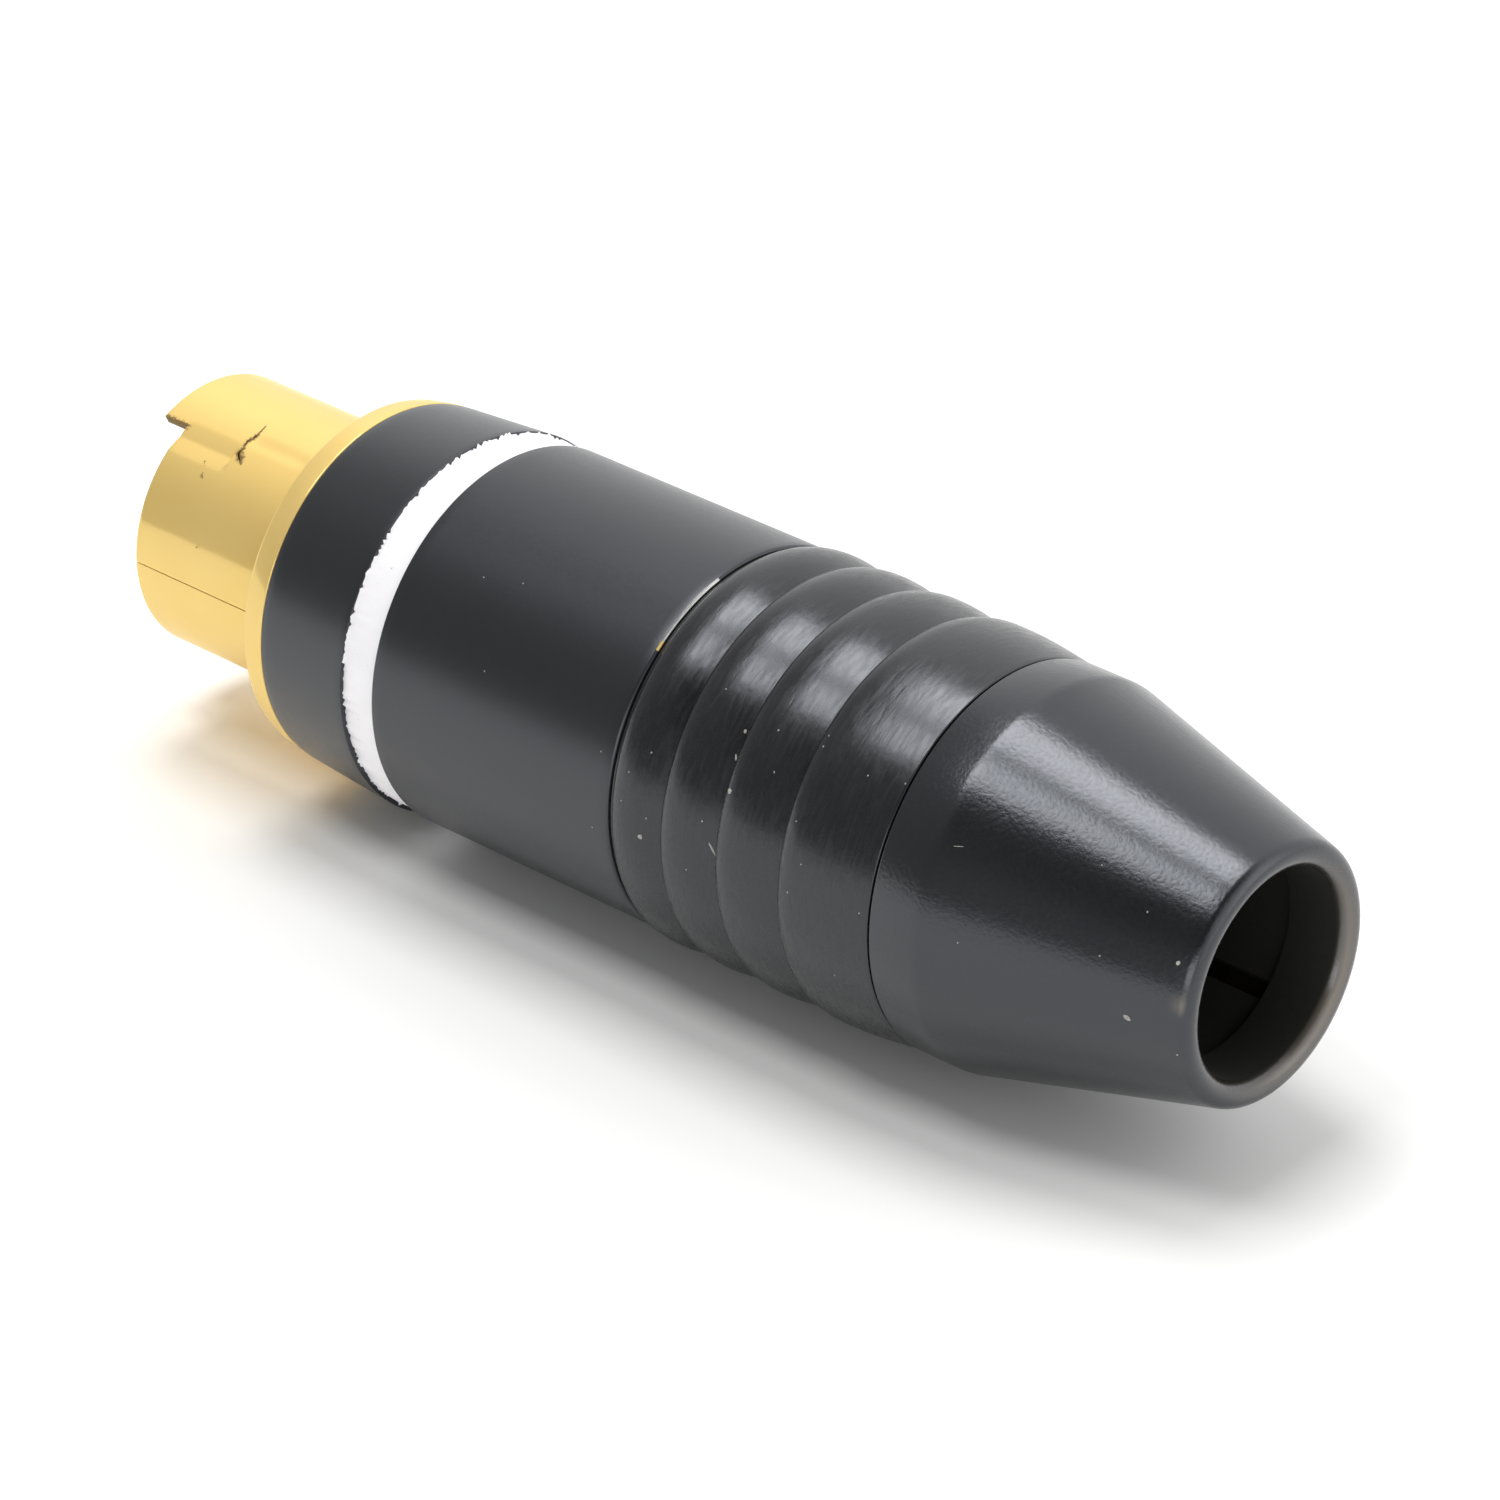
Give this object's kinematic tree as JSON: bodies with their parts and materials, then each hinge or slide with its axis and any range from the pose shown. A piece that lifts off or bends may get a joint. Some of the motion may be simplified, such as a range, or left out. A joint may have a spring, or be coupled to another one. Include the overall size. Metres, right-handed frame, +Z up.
{
  "type": "mini-din cable plug",
  "caption": "Round cable plug with a keyed gold skirt round its contact pins, a white marking ring, a plain black barrel, a ribbed soft grip and a conical tail with an open cable hole",
  "frame": {"origin": "On the plug's axis, in the shoulder face that stops against the socket", "axes": "X along the plug's axis, with the skirt at -X and the cable hole at +X; the skirt's seam faces -Y; Z up, with the plug lying on its side"},
  "size_m": [0.0446, 0.0132, 0.0132],
  "materials": {
    "gold_plate": "bright gold plating on brass",
    "black_paint": "satin black",
    "black_rubber": "satin moulded",
    "white_plastic": "satin",
    "ivory_plastic": "moulded",
    "black_plastic": "moulded",
    "tinned_steel": "tin plated sheet"
  },
  "bodies": {
    "root": {"skirt_shell": "gold_plate", "pin_block": "ivory_plastic", "pin_retainer": "ivory_plastic", "contact_pin_1": "gold_plate", "contact_pin_2": "gold_plate", "contact_pin_3": "gold_plate", "contact_pin_4": "gold_plate", "upper_shield_half": "tinned_steel", "lower_shield_half": "tinned_steel", "nose_ferrule": "gold_plate", "front_collar": "black_paint", "colour_ring": "white_plastic", "barrel": "black_paint", "core_tube": "gold_plate", "insulating_liner": "ivory_plastic", "grip_sleeve": "black_rubber", "cable_collet": "black_plastic", "tail_cap": "black_paint"}
  },
  "joints": []
}
